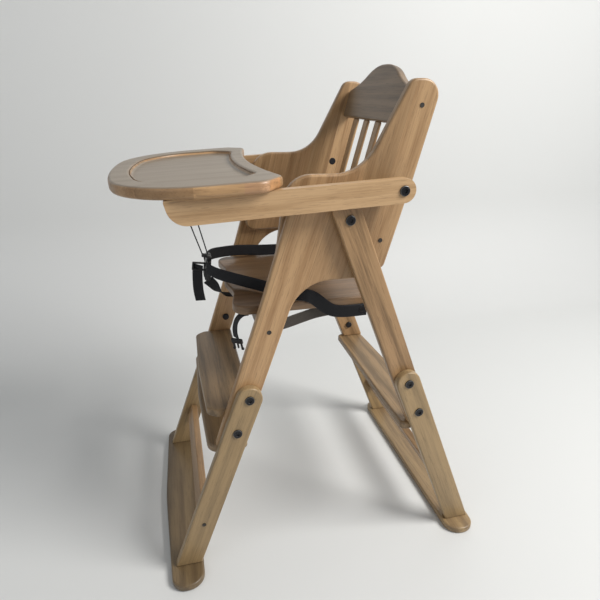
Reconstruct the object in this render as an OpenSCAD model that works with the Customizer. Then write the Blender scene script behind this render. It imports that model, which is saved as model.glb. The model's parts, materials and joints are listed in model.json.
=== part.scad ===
// Folding wooden baby high chair. Millimetres, +Z up, the front faces -Y and the
// sitter's left side is +X. The origin is on the floor under the middle of the
// chair's overall length and width.

/* [Overall] */
// Clear width between the two side panels
inside_w = 330; // [290:5:370]
// Thickness of every panel, leg, arm and rail board
board_t = 17; // [14:1:20]
// Height of the top of the low step boards, where the upper legs end
stand_h = 290; // [250:5:330]
// Thickness of the two foot boards on the floor
foot_t = 15; // [12:1:18]

/* [Legs] */
// Width of the rear upper and all lower legs
leg_w = 50; // [44:1:54]
// Sideways travel of the rear legs for each unit of height
rear_slope = 0.39; // [0.36:0.01:0.42]
// Sideways travel of the front lower legs for each unit of height
front_slope = 0.372; // [0.34:0.01:0.40]
// Gap that the pivot washer fills between the front panel and the rear leg
washer_t = 2; // [1:0.5:3]

/* [Seat and back] */
// Width of the back slats
slat_w = 25; // [20:1:32]
// Distance between the middles of two back slats
slat_pitch = 62; // [56:1:66]
// Thickness of the back slats
slat_t = 6; // [5:0.5:9]
// Gap at each side between the seat board and a side panel
seat_gap = 3.5; // [3:0.5:6]
// Diameter of the rod that the seat turns on
rod_d = 12; // [10:1:14]

/* [Tray] */
// Slope of the tray and its arms, in degrees, lower at the front
tray_tilt = 2.8; // [1:0.2:4]
// Half of the width of the tray board
tray_half = 255; // [250:1:275]
// Thickness of the tray board
tray_t = 20; // [18:1:24]
// Depth of the sunk middle of the tray board
tray_recess = 8; // [4:1:10]
// Height of the tray arms
arm_h = 42; // [36:1:46]

/* [Fixings] */
// Diameter of the bolt shanks
bolt_d = 8; // [6:1:10]
// Diameter of the flat bolt heads
head_d = 18; // [16:1:20]
// Radial play of a shank or rod in its hole
fit = 0.05; // [0.02:0.01:0.1]

/* [Harness] */
// Width of the harness webbing
web_w = 25; // [20:1:28]
// Thickness of the harness webbing
web_t = 1.4; // [1.2:0.1:1.6]
// Diameter of the two thin tray cords
cord_d = 2.6; // [2:0.2:4]

/* [Hidden] */
$fn = 48;
e = 0.01;
// layers from the middle outwards along X
panel_in = inside_w / 2;
panel_out = panel_in + board_t;
front_out = panel_out + board_t;
rear_in = front_out + washer_t;
rear_out = rear_in + board_t;
outer_out = rear_out + board_t;
arm_in = rear_out + 2;
arm_out = arm_in + board_t;
// heights
pivot = [-24, stand_h + 437];
tray_pivot = [63, stand_h + 486.4];
joint_high = stand_h + 105;
joint_low = stand_h + 35;
stretcher_z = 116;
stretcher_h = 36;
seat_z = stand_h + 254.5;
seat_front = -226;
seat_back = 66;
seat_half = panel_in - seat_gap;
rod = [50, seat_z - 11];
// middle of the sloping rail under the front of the seat
front_rail = [-166, seat_z - 21.7];
back_foot = [47.8, stand_h + 387.7];
back_head = [109, stand_h + 619];
back_lean = atan((back_head[0] - back_foot[0]) / (back_head[1] - back_foot[1]));
back_len = (back_head[1] - back_foot[1]) / cos(back_lean);
rail_h = 40;
head_low = 37;
// keeps the curve of the headrest in proportion to the clear width
head_k = inside_w / 330;
// how far the front faces of the back boards stand in front of their screws
back_forward = 14.5;
// underside of the footrest board
rest_z = stand_h + 53;
front_axis_high = [-209, joint_high];
lower_slope = rear_slope + 0.009;
foot_depth = 70;
// lines of the lower legs at floor level
front_foot_y = front_axis_high[0] - (joint_high - foot_t) * front_slope;
rear_high = [pivot[0] + (pivot[1] - joint_high) * rear_slope, joint_high];
rear_low = [pivot[0] + (pivot[1] - joint_low) * rear_slope, joint_low];
front_low = [front_axis_high[0] - (joint_high - joint_low) * front_slope, joint_low];
rear_foot_y = rear_high[0] + (joint_high - foot_t) * lower_slope;
foot_bulge = 5;
arm_len = 393;
arm_r = arm_h / 2;
tray_near = 201;
tray_far = 490;
rest_drop = 3;
// whole length, used to centre the part on its origin
reach_front = tray_pivot[0] - tray_far * cos(tray_tilt) - (arm_r + tray_t) * sin(tray_tilt);
reach_back = rear_foot_y + foot_depth / 2;
centre_y = -(reach_front + reach_back) / 2;

// ---------- outline helpers ----------

// unit vector from a to b
function dir(a, b) = (b - a) / norm(b - a);

// one rounded corner c = [x, y, radius] between the corners before and after it
function round_corner(a, c, b, steps) =
    let (p = [c[0], c[1]], u = dir(p, [a[0], a[1]]), v = dir(p, [b[0], b[1]]))
    let (half = acos(max(-1, min(1, u * v))) / 2)
    let (m = dir([0, 0], u + v), mid = p + m * c[2] / sin(half))
    let (from = mid - p, s = p + u * c[2] / tan(half) - mid, f = p + v * c[2] / tan(half) - mid)
    let (turn = 180 - 2 * half, side = sign(s[0] * f[1] - s[1] * f[0]))
    [for (i = [0:steps]) let (a = side * turn * i / steps)
        mid + [s[0] * cos(a) - s[1] * sin(a), s[0] * sin(a) + s[1] * cos(a)]];

// outline with rounded corners from a list of [x, y, radius]
function outline(cs, steps = 8) =
    let (n = len(cs))
    [for (i = [0:n - 1]) let (c = cs[i])
        each (c[2] == 0 ? [[c[0], c[1]]]
            : round_corner(cs[(i + n - 1) % n], c, cs[(i + 1) % n], steps))];

// a list of corners for x > 0 and its mirror image, in one closed order
function both_sides(cs) =
    concat(cs, [for (i = [len(cs) - 1:-1:0]) if (cs[i][0] > 0) [-cs[i][0], cs[i][1], cs[i][2]]]);

// ---------- placing helpers ----------

module place() {
    translate([0, centre_y, 0]) children();
}

// a flat shape drawn in (y, z), made a board from x0 to x0 + t
module board_x(x0, t) {
    translate([x0, 0, 0]) rotate([90, 0, 90]) linear_extrude(t) children();
}

// a shape drawn in (x, y), made a board from z0 to z0 + t
module board_z(z0, t) {
    translate([0, 0, z0]) linear_extrude(t) children();
}

module side(s) {
    if (s > 0) {
        children();
    } else {
        mirror([1, 0, 0]) children();
    }
}

module both() {
    children();
    mirror([1, 0, 0]) children();
}

module hole_at(p, r) {
    translate(p) circle(r);
}

module rod_x(p, r, x0, x1) {
    translate([x0, p[0], p[1]]) rotate([0, 90, 0]) cylinder(r = r, h = x1 - x0);
}

// bolt along X: flat head outside, shank, round nut inside
module bolt_x(p, x0, x1, nut_h) {
    rod_x(p, bolt_d / 2, x0 + nut_h, x1);
    rod_x(p, head_d / 2, x1, x1 + 3);
    rod_x(p, head_d / 2 - 1, x0, x0 + nut_h);
}

// leg strip in (y, z): round top about a, running down the slope and cut at height z1
module leg_strip(a, slope, w, z1) {
    c = cos(atan(slope));
    along = c * [slope, -1];
    across = c * [1, slope];
    foot_y = a[0] + (a[1] - z1) * slope;
    polygon(outline([
        [foot_y - w / 2 / c, z1, 0], [foot_y + w / 2 / c, z1, 0],
        concat(a + (across - along) * w / 2, w / 2 - 0.1),
        concat(a - (across + along) * w / 2, w / 2 - 0.1)
    ], 12));
}

// arm frame: origin on the tray pivot, first axis along the arm to the front,
// second axis across it upwards
module arm_place() {
    translate([0, tray_pivot[0], tray_pivot[1]]) rotate([tray_tilt, 0, 0]) children();
}

// ---------- side panels and front frame ----------

module side_panel_shape() {
    z = stand_h;
    difference() {
        polygon(outline([
            [-152, z + 332, 20], [57.5, z + 332, 14], [105.4, z + 499, 0],
            [147.5, z + 661, 28], [89, z + 661, 18], [8, z + 508, 80], [-127, z + 511, 50]
        ]));
        hole_at(pivot, bolt_d / 2 + fit);
        hole_at(tray_pivot, bolt_d / 2 + fit);
    }
}

module side_panel(s) {
    nut = head_d / 2 - 1 + fit;
    color([0.72, 0.56, 0.38]) place() side(s) difference() {
        board_x(panel_in, board_t) side_panel_shape();
        rod_x(pivot, nut, panel_in - e, panel_in + 3);
        rod_x(tray_pivot, nut, panel_in - e, panel_in + 3);
    }
}

module side_panel_left() { side_panel(1); }
module side_panel_right() { side_panel(-1); }

// top edge of the front panel, just under the rest block, at a given y
function panel_top(y) =
    tray_pivot[1] - (arm_r + rest_drop) / cos(tray_tilt) + (y - tray_pivot[0]) * tan(tray_tilt);

module front_panel_shape() {
    z = stand_h;
    difference() {
        polygon(outline([
            [-277, z, 0], [-222, z, 0], [-108, z + 324, 80], [24, z + 324, 22],
            [-8, panel_top(-8), 20], [-127, panel_top(-127), 12], [-175, z + 299, 0]
        ]));
        hole_at(pivot, bolt_d / 2 + fit);
        hole_at(front_axis_high, bolt_d / 2 + fit);
        hole_at(front_low, bolt_d / 2 + fit);
    }
}

module front_panel(s) {
    color([0.74, 0.57, 0.38]) place() side(s) difference() {
        board_x(panel_out, board_t) front_panel_shape();
        rail_screw(fit, front_out + 1);
    }
}

module front_panel_left() { front_panel(1); }
module front_panel_right() { front_panel(-1); }

module front_lower_leg(s) {
    color([0.62, 0.5, 0.36]) place() side(s) board_x(front_out, board_t) difference() {
        leg_strip(front_axis_high, -front_slope, leg_w, foot_t);
        hole_at(front_axis_high, bolt_d / 2 + fit);
        hole_at(front_low, bolt_d / 2 + fit);
    }
}

module front_lower_leg_left() { front_lower_leg(1); }
module front_lower_leg_right() { front_lower_leg(-1); }

// foot board reaching half_len each side of the middle, inner edge at y = 0 and
// the outer edge bulging towards +Y
module foot_shape(half_len) {
    r = foot_depth / 2 - 2;
    polygon(outline(both_sides([
        [half_len, 0, r], [half_len, foot_depth - foot_bulge, r - 4],
        [0, foot_depth + foot_bulge, 900]
    ]), 10));
}

module front_foot_board() {
    color([0.5, 0.38, 0.25]) place() board_z(0, foot_t)
        translate([0, front_foot_y + foot_depth / 2 - 5]) mirror([0, 1])
            foot_shape(outer_out + 31);
}

module stretcher(y_high, slope, half_len) {
    lean = atan(slope);
    y = y_high;
    board_x(-half_len, 2 * half_len) translate([y, stretcher_z]) rotate(lean)
        translate([-board_t / 2, -stretcher_h / 2]) square([board_t, stretcher_h]);
}

module front_stretcher() {
    color([0.6, 0.46, 0.3]) place()
        stretcher(front_axis_high[0] - (joint_high - stretcher_z) * front_slope,
            -front_slope, front_out);
}

module front_low_board() {
    color([0.42, 0.32, 0.22]) place() board_z(stand_h - board_t, board_t)
        polygon(outline(both_sides([[front_out, -214, 12], [front_out, -292, 26], [0, -298, 600]])));
}

module footrest_board() {
    color([0.46, 0.37, 0.25]) place() board_z(rest_z, board_t)
        polygon(outline(both_sides([
            [panel_out, -198, 0], [panel_out, -268, 0], [panel_out - 14, -288, 18],
            [0, -293, 600]
        ])));
}

module seat_front_rail() {
    color([0.5, 0.37, 0.24]) place() difference() {
        board_x(-panel_out, 2 * panel_out) translate(front_rail)
            rotate(-18.7) translate([-board_t / 2, -19]) square([board_t, 38]);
        translate([-300, -300, seat_z - 0.3]) cube([600, 300, 40]);
    }
}

// ---------- back ----------

// frame of the backrest: x across, y forward from the board line, z up along the back
module back_place() {
    translate([0, back_foot[0], back_foot[1]]) rotate([-back_lean, 0, 0]) children();
}

module headrest_board() {
    color([0.5, 0.43, 0.34]) place() back_place()
        translate([0, board_t - back_forward, back_len]) rotate([90, 0, 0])
            linear_extrude(board_t) polygon(outline(both_sides([
                [panel_in, -head_low, 0], [panel_in, 20, 0],
                [panel_in - 60 * head_k, 36, 260 * pow(head_k, 3)],
                [44 * head_k, 70, 140 * pow(head_k, 3)]
            ]), 10));
}

module back_slats() {
    slat_y = (board_t - slat_t) / 2 - back_forward;
    color([0.7, 0.55, 0.38]) place() back_place()
        for (i = [-1.5:1:1.5]) translate([i * slat_pitch - slat_w / 2, slat_y, rail_h / 2])
            cube([slat_w, slat_t, back_len - head_low - rail_h / 2]);
}

module back_lower_rail() {
    color([0.62, 0.47, 0.31]) place() back_place()
        translate([-panel_in, -back_forward, -rail_h / 2]) cube([2 * panel_in, board_t, rail_h]);
}

// ---------- fixings of the front frame ----------

// sunk screw that holds the front seat rail, or with play its open hole
module rail_screw(play, x1) {
    rod_x(front_rail, 4.5 + play, front_out - 12, x1);
}

// small sunk screw heads on the outside of the boards
module frame_screws() {
    color([0.2, 0.18, 0.17]) place() both() {
        rail_screw(0, front_out - 0.8);
        rod_x(back_head, 4, panel_out, panel_out + 1);
        rod_x(back_foot, 4, panel_out, panel_out + 1);
        rod_x([front_axis_high[0] - (joint_high - stretcher_z) * front_slope, stretcher_z],
            4, front_out + board_t, front_out + board_t + 1);
    }
}

module front_leg_bolts() {
    color([0.08, 0.08, 0.09]) place() both() {
        bolt_x(front_axis_high, panel_out - 5, front_out + board_t, 5);
        bolt_x(front_low, panel_out - 5, front_out + board_t, 5);
    }
}

module leg_pivot_bolts() {
    color([0.08, 0.08, 0.09]) place() both() bolt_x(pivot, panel_in, rear_out, 3);
}

module pivot_washers() {
    color([0.75, 0.75, 0.73]) place() both() difference() {
        rod_x(pivot, 12, front_out, rear_in);
        rod_x(pivot, bolt_d / 2 + fit, front_out - 1, rear_in + 1);
    }
}

module tray_pivot_bolts() {
    color([0.08, 0.08, 0.09]) place() both() bolt_x(tray_pivot, panel_in, arm_out, 3);
}

module tray_spacers() {
    color([0.1, 0.1, 0.1]) place() both() difference() {
        rod_x(tray_pivot, 10, panel_out, arm_in);
        rod_x(tray_pivot, bolt_d / 2 + fit, panel_out - 1, arm_in + 1);
    }
}

// ---------- rear frame ----------

module rear_upper_leg(s) {
    top = pivot + 20 * [-rear_slope, 1];
    color([0.55, 0.42, 0.29]) place() side(s) difference() {
        board_x(rear_in, board_t) difference() {
            leg_strip(top, rear_slope, leg_w, stand_h);
            hole_at(pivot, bolt_d / 2 + fit);
            hole_at(rear_high, bolt_d / 2 + fit);
            hole_at(rear_low, bolt_d / 2 + fit);
        }
        rod_x(rod, rod_d / 2 + fit, rear_in - 1, rear_in + 10);
    }
}

module rear_upper_leg_left() { rear_upper_leg(1); }
module rear_upper_leg_right() { rear_upper_leg(-1); }

module rear_lower_leg(s) {
    color([0.6, 0.48, 0.36]) place() side(s) board_x(rear_out, board_t) difference() {
        leg_strip(rear_high, lower_slope, leg_w, foot_t);
        hole_at(rear_high, bolt_d / 2 + fit);
        hole_at(rear_low, bolt_d / 2 + fit);
    }
}

module rear_lower_leg_left() { rear_lower_leg(1); }
module rear_lower_leg_right() { rear_lower_leg(-1); }

module rear_foot_board() {
    color([0.55, 0.42, 0.28]) place() board_z(0, foot_t)
        translate([0, rear_foot_y - foot_depth / 2]) foot_shape(outer_out + 34);
}

module rear_stretcher() {
    color([0.6, 0.46, 0.3]) place()
        stretcher(rear_high[0] + (joint_high - stretcher_z) * lower_slope,
            rear_slope, rear_out);
}

module rear_low_board() {
    color([0.5, 0.4, 0.3]) place() board_z(stand_h - board_t, board_t)
        polygon(outline(both_sides([[rear_out, 106, 12], [rear_out, 172, 26], [0, 184, 600]])));
}

module rear_leg_bolts() {
    color([0.08, 0.08, 0.09]) place() both() {
        bolt_x(rear_high, rear_in - 5, outer_out, 5);
        bolt_x(rear_low, rear_in - 5, outer_out, 5);
        rod_x([rear_high[0] + (joint_high - stretcher_z) * lower_slope, stretcher_z],
            4, outer_out, outer_out + 1);
    }
}

module seat_rod() {
    color([0.45, 0.45, 0.46]) place() rod_x(rod, rod_d / 2, -rear_in - 9.8, rear_in + 9.8);
}

// ---------- seat ----------

module seat_board() {
    color([0.42, 0.32, 0.22]) place() board_z(seat_z, board_t)
        polygon(outline(both_sides([
            [seat_half, seat_back, 8], [seat_half, seat_front - 2, 28],
            [72, seat_front + 13, 90], [0, seat_front + 2, 60]
        ])));
}

module seat_pivot_blocks() {
    color([0.5, 0.38, 0.25]) place() both() difference() {
        translate([block_out - 50, rod[0] - 16, rod[1] - 13]) cube([50, 30, seat_z - rod[1] + 13]);
        rod_x(rod, rod_d / 2 + fit, block_out - 60, block_out + 10);
    }
}

// ---------- webbing and cords ----------

// point on a smooth curve through four neighbours
function spline(a, b, c, d, t) =
    0.5 * (2 * b + (c - a) * t + (2 * a - 5 * b + 4 * c - d) * t * t
        + (3 * b - a - 3 * c + d) * t * t * t);

// list of points evenly split through the control points
function smooth(ps, n) =
    let (m = len(ps) - 1)
    [for (i = [0:m - 1]) for (k = [0:n - 1])
        spline(ps[max(i - 1, 0)], ps[i], ps[i + 1], ps[min(i + 2, m)], k / n), ps[m]];

function tangent(ps, i) =
    dir(ps[max(i - 1, 0)], ps[min(i + 1, len(ps) - 1)]);

// closed sweep: rings is a list of equal-length point rings
module skin(rings) {
    n = len(rings[0]);
    m = len(rings);
    points = [for (r = rings) each r];
    ends = [[for (k = [n - 1:-1:0]) k], [for (k = [0:n - 1]) (m - 1) * n + k]];
    sides = [for (i = [0:m - 2]) for (k = [0:n - 1])
        each [[i * n + k, i * n + (k + 1) % n, (i + 1) * n + k],
            [i * n + (k + 1) % n, (i + 1) * n + (k + 1) % n, (i + 1) * n + k]]];
    polyhedron(points, concat(ends, sides));
}

// flat strap through rows of [x, y, z, side x, side y, side z]
module strap(rows, w, n) {
    ps = smooth([for (r = rows) [r[0], r[1], r[2]]], n);
    ws = smooth([for (r = rows) [r[3], r[4], r[5]]], n);
    skin([for (i = [0:len(ps) - 1])
        let (t = tangent(ps, i), u = dir([0, 0, 0], ws[i] - (ws[i] * t) * t), v = cross(t, u))
        [for (q = [[-1, -1], [1, -1], [1, 1], [-1, 1]])
            ps[i] + u * q[0] * w / 2 + v * q[1] * web_t / 2]]);
}

// round cord through points
module cord(rows, d, n) {
    ps = smooth(rows, n);
    skin([for (i = [0:len(ps) - 1])
        let (t = tangent(ps, i), u = dir([0, 0, 0], cross(t, [1, 0.2, 0])), v = cross(t, u))
        [for (k = [0:7]) ps[i] + (u * cos(k * 45) + v * sin(k * 45)) * d / 2]]);
}

// heights used by the harness
seat_top = seat_z + board_t;
on_seat = seat_top + web_w / 2 + 0.3;
edge_x = seat_half + 0.3 + web_t / 2;
// outer sides of the two pivot blocks under the seat
block_out = seat_half - 31.5;
stay_x = block_out + 0.1 + web_t / 2;
// where the stay straps end, just in front of the rod
stay_end = rod[0] - rod_d / 2 - 1;
buckle_p = [-30, -254, seat_z + 40];

// from the buckle over the seat on its edge, down the seat's left edge and back along it
module waist_strap_left() {
    color([0.09, 0.09, 0.1]) place() strap([
        [-1.6, -258, seat_z + 44, 0, 0, 1],
        [24, -238, on_seat + 9, 0, 0, 1],
        [seat_half * 0.347, -200, on_seat + 4, 0, 0, 1],
        [seat_half - 69.5, -162, on_seat + 1.6, 0, 0, 1],
        [seat_half - 35.5, -132, on_seat + 1, 0, 0, 1],
        [seat_half - 11.5, -110, on_seat + 0.8, 0, 0, 1],
        [edge_x, -88, on_seat + 0.8, 0, 0, 1],
        [edge_x, -70, on_seat - 8, 0, 0, 1],
        [edge_x, -52, seat_z + 6, 0, 0, 1],
        [edge_x, -34, seat_z - 6, 0, 0, 1],
        [edge_x, -8, seat_z - 11, 0, 0, 1],
        [edge_x, 36, seat_z - 11, 0, 0, 1]
    ], web_w, 4);
}

// from the buckle over the front of the seat and back along its right side
module waist_strap_right() {
    color([0.09, 0.09, 0.1]) place() strap([
        [-60.5, -258.5, seat_z + 42, 0, 0, 1],
        [-84, -243, seat_z + 48, 0, 0, 1],
        [45.5 - seat_half, -214, on_seat + 13, 0, 0, 1],
        [23.5 - seat_half, -174, on_seat + 8, -0.1, 0, 1],
        [14.5 - seat_half, -120, on_seat + 2, -0.25, 0, 0.97],
        [12.5 - seat_half, -60, on_seat - 0.3, -0.4, 0, 0.92],
        [11.5 - seat_half, -10, on_seat - 0.8, -0.5, 0, 0.86],
        [10.5 - seat_half, 36, on_seat - 0.8, -0.5, 0, 0.86]
    ], web_w, 4);
}

// small screws with washers that hold the webbing
module strap_anchors() {
    color([0.3, 0.3, 0.31]) place() {
        rod_x([26, seat_z - 11], 5, edge_x + web_t / 2 + 0.05, edge_x + web_t / 2 + 1.1);
        translate([25.5 - seat_half, 26, seat_top]) cylinder(r = 5, h = 2.5);
        both() rod_x([stay_end - 4.4, seat_z - 12.8], 3.5,
            stay_x + web_t / 2 + 0.05, stay_x + web_t / 2 + 2);
    }
}

// short straps from the front rail to the outer sides of the pivot blocks
module stay_straps() {
    color([0.3, 0.27, 0.25]) place() both() strap([
        [seat_half - 3.5, -148, seat_z - 29, 0, 0, 1],
        [seat_half - 5.5, -122, seat_z - 25, 0, 0, 1],
        [seat_half - 8.5, -92, seat_z - 18.5, 0, 0, 1],
        [seat_half - 13.5, -62, seat_z - 14, 0, 0, 1],
        [seat_half - 20.5, -20, seat_z - 12.8, 0, 0, 1],
        [stay_x + 1.4, 18, seat_z - 12.8, 0, 0, 1],
        [stay_x, stay_end - 9, seat_z - 12.8, 0, 0, 1],
        [stay_x, stay_end, seat_z - 12.8, 0, 0, 1]
    ], web_w - 2, 4);
}

// between the legs: from the front rail up to the buckle, turning onto its edge
module crotch_strap() {
    color([0.09, 0.09, 0.1]) place() strap([
        [-30, -181, seat_z - 26, 1, 0, 0],
        [-30, -200, seat_z - 31, 1, 0, 0],
        [-31, -222, seat_z - 28, 1, 0.1, 0],
        [-32, -237, seat_z - 17, 0.75, 0.6, 0.3],
        [-31, -246, seat_z - 3, 0.4, 0.8, 0.45],
        [-30, -256, seat_z + 8.5, 0.3, 0.85, 0.45]
    ], web_w, 5);
}

module buckle() {
    color([0.07, 0.07, 0.08]) place() translate(buckle_p) rotate([-8, 0, 0]) {
        translate([-24, -7, -27]) cube([48, 13, 30]);
        translate([-18, -6, 3]) cube([36, 11, 24]);
        for (s = [-1, 1]) translate([s * 23 - 5, -5, 4]) cube([10, 9, 16]);
        // bar under the ends of the tray cords
        translate([-6, -13, 19]) cube([10, 17, 6.5]);
    }
}

// loose sewn end of the strap that hangs in front of the buckle
module strap_tail() {
    color([0.09, 0.09, 0.1]) place() strap([
        [-34, -274, seat_z + 43, 0.45, 0.89, 0],
        [-36, -276.5, seat_z + 26, 0.45, 0.89, 0],
        [-38, -277.5, seat_z + 2, 0.4, 0.91, 0],
        [-39, -277, seat_z - 20, 0.35, 0.93, 0],
        [-40, -274, seat_z - 42, 0.35, 0.93, 0]
    ], web_w - 2, 3);
}

// strap hanging under the front of the seat, with the male half of a buckle
module clip_strap() {
    color([0.09, 0.09, 0.1]) place() strap([
        [seat_half - 33.5, -193, seat_z - 10, 1, 0, 0],
        [seat_half - 34.5, -205, seat_z - 12, 1, 0.05, 0],
        [seat_half - 35.5, -216, seat_z - 24, 0.98, 0.15, 0],
        [seat_half - 36.5, -220, seat_z - 44, 0.95, 0.3, 0],
        [seat_half - 37.5, -218, seat_z - 62, 0.9, 0.4, 0]
    ], web_w - 3, 3);
}

module clip() {
    color([0.07, 0.07, 0.08]) place() translate([seat_half - 37.5, -217, seat_z - 64]) rotate([20, 0, 60]) {
        translate([-12, -3, -12]) cube([24, 6, 12]);
        for (s = [-1, 1]) translate([s * 8 - 2.5, -2.5, -30]) cube([5, 5, 18]);
        translate([-2, -2, -24]) cube([4, 4, 12]);
    }
}

// ---------- tray ----------

module arm_shape() {
    r = arm_r;
    difference() {
        polygon(outline([
            [r, -r, r - e], [-arm_len + 8, -r, 33], [-arm_len, r, 4], [r, r, r - e]
        ], 12));
        circle(bolt_d / 2 + fit);
    }
}

module tray_arm(s) {
    color([0.76, 0.61, 0.43]) place() side(s) arm_place() board_x(arm_in, board_t) arm_shape();
}

module tray_arm_left() { tray_arm(1); }
module tray_arm_right() { tray_arm(-1); }

// radius of a bow of depth d across a width of 2 w that uses the share k of it
function bow(w, d, k) = k * w * w / d;

// tray outline seen from above: w is half the width, near and far are distances
// from the tray pivot, belly is how deep the rear edge curves in
module tray_shape(w, near, far, belly, r_near, r_far) {
    polygon(outline(both_sides([
        [0, -near - belly, bow(w - 38, belly, 0.88)], [w - 38, -near, r_near / 2],
        [w, -near - 34, r_near], [w, -far + 32, r_far], [0, -far - 4, bow(w, 36, 0.44)]
    ]), 10));
}

module tray_board() {
    color([0.6, 0.54, 0.46]) place() arm_place() difference() {
        board_z(arm_r, tray_t) tray_shape(tray_half, tray_near, tray_far, 43, 30, 160);
        board_z(arm_r + tray_t - tray_recess, tray_t)
            tray_shape(tray_half - 48, tray_near + 38, tray_far - 38, 28, 30, 110);
    }
}

// blocks inside the arms that come down on the top edges of the front panels
module tray_rest_blocks() {
    color([0.55, 0.42, 0.28]) place() both() arm_place()
        board_x(panel_out + 1, arm_in - panel_out - 1)
            translate([-253, -arm_r - rest_drop + 0.2]) polygon(outline([
                [0, 0, 8], [92, 0, 8], [92, 20, 4], [0, 20, 4]
            ]));
}

// height of the underside of the tray board at a given y
function under_tray(y) =
    tray_pivot[1] + arm_r / cos(tray_tilt) + (y - tray_pivot[0]) * tan(tray_tilt);

// two thin cords from the underside of the tray to the top of the buckle
module tray_cords() {
    for_cords = [[-36, -311, -284, -33, -264], [-24, -291, -268, -27, -253]];
    color([0.08, 0.08, 0.09]) place() for (c = for_cords) cord([
        [c[0], c[1], under_tray(c[1]) - 0.5],
        [c[0], (c[1] * 2 + c[2]) / 3, seat_z + 196],
        [c[0], c[2], seat_z + 132],
        [c[3], c[4], seat_z + 69]
    ], cord_d, 5);
}

// ---------- nodes ----------

side_panel_left();
side_panel_right();
front_panel_left();
front_panel_right();
front_lower_leg_left();
front_lower_leg_right();
front_foot_board();
front_stretcher();
front_low_board();
footrest_board();
seat_front_rail();
headrest_board();
back_slats();
back_lower_rail();
frame_screws();
front_leg_bolts();
leg_pivot_bolts();
pivot_washers();
tray_pivot_bolts();
tray_spacers();
rear_upper_leg_left();
rear_upper_leg_right();
rear_lower_leg_left();
rear_lower_leg_right();
rear_foot_board();
rear_stretcher();
rear_low_board();
rear_leg_bolts();
seat_rod();
seat_board();
seat_pivot_blocks();
waist_strap_left();
waist_strap_right();
strap_anchors();
stay_straps();
crotch_strap();
buckle();
strap_tail();
clip_strap();
clip();
tray_board();
tray_arm_left();
tray_arm_right();
tray_rest_blocks();
tray_cords();
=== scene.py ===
import json
import math

import bmesh
import bpy
from bpy.props import FloatProperty, FloatVectorProperty, PointerProperty
from mathutils import Matrix, Vector


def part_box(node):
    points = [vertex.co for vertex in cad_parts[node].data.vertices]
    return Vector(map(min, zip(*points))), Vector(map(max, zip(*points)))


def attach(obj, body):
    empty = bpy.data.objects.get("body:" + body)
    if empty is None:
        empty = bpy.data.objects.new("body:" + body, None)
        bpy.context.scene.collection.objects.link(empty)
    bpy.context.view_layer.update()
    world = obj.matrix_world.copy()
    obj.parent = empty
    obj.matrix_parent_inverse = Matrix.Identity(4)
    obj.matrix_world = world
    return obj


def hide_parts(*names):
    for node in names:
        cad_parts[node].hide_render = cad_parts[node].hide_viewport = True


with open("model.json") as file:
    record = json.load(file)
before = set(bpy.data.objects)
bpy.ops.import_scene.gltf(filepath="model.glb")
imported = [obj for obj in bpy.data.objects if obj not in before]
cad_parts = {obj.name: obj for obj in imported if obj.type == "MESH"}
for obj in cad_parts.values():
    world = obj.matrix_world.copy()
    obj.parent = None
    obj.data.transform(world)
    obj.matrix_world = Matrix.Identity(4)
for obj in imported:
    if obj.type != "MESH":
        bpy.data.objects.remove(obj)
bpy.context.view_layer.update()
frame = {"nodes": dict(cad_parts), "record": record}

bl_info = {
    "name": "Baby high chair finish",
    "version": (1, 0, 0),
    "blender": (4, 5, 0),
    "location": "3D View > Sidebar > High chair",
    "description": "Rounded lacquered boards, bolts, webbing and stage for a folding high chair",
    "category": "Object",
}

BODY_OF = {n: body for body, nodes in frame["record"]["behaviour"]["bodies"].items() for n in nodes}
# the materials made so far, by name
MADE = {}


def middle(node):
    """Middle of a CAD node's box."""
    low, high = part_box(node)
    return (Vector(low) + Vector(high)) / 2


# the chair's own lengthways zero: the leg pivot stands 24 mm in front of it
Y0 = middle("leg_pivot_bolts").y + 0.024
SEAT_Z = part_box("seat_board")[0][2]
SEAT_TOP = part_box("seat_board")[1][2]

# thickness of the webbing, and the pitch of its cross ribs
WEB_THICK = 0.0014
RIB_PITCH = 0.0022
# radii of the bolt heads, shanks and nuts
BOLT_HEAD = 0.009
BOLT_SHANK = 0.004
BOLT_NUT = 0.008
# how far the lower bolt of a rear leg joint lies behind and below the upper one
JOINT_RUN = 0.0273
JOINT_DROP = 0.07
# slope of the tray and its arms, in radians
ARM_SLOPE = math.radians(2.8)
# floor and backdrop: the floor's near edge, where it starts to bend up, the bend's radius and
# its number of flats, the wall's top, half the width, and the gap under the feet
FLOOR_NEAR = 3.2
BEND_START = -0.75
BEND_RADIUS = 0.45
BEND_FLATS = 16
WALL_TOP = 3.6
HALF_WIDTH = 4.5
FLOOR_GAP = 0.0005


# ---------------------------------------------------------------- shader tools

def scaled(colour, share):
    """A colour with each channel times a share."""
    return tuple(c * share for c in colour)


class Value:
    """A number socket that can be used in Python sums."""

    def __init__(self, finish, socket):
        self.finish = finish
        self.socket = socket

    def _do(self, operation, a, b):
        return Value(self.finish, self.finish.node("ShaderNodeMath", {"operation": operation}, {0: a, 1: b}))

    def __add__(self, other):
        return self._do("ADD", self, other)

    def __radd__(self, other):
        return self._do("ADD", other, self)

    def __sub__(self, other):
        return self._do("SUBTRACT", self, other)

    def __rsub__(self, other):
        return self._do("SUBTRACT", other, self)

    def __mul__(self, other):
        return self._do("MULTIPLY", self, other)

    def __rmul__(self, other):
        return self._do("MULTIPLY", other, self)

    def __truediv__(self, other):
        return self._do("DIVIDE", self, other)

    def __gt__(self, other):
        return self._do("GREATER_THAN", self, other)

    def power(self, other):
        return self._do("POWER", self, other)

    def floor(self):
        return self._do("FLOOR", self, 0.0)

    def fraction(self):
        return self._do("FRACT", self, 0.0)

    def sine(self):
        return self._do("SINE", self, 0.0)

    def distance_to(self, other):
        return self._do("ABSOLUTE", self - other, 0.0)


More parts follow.
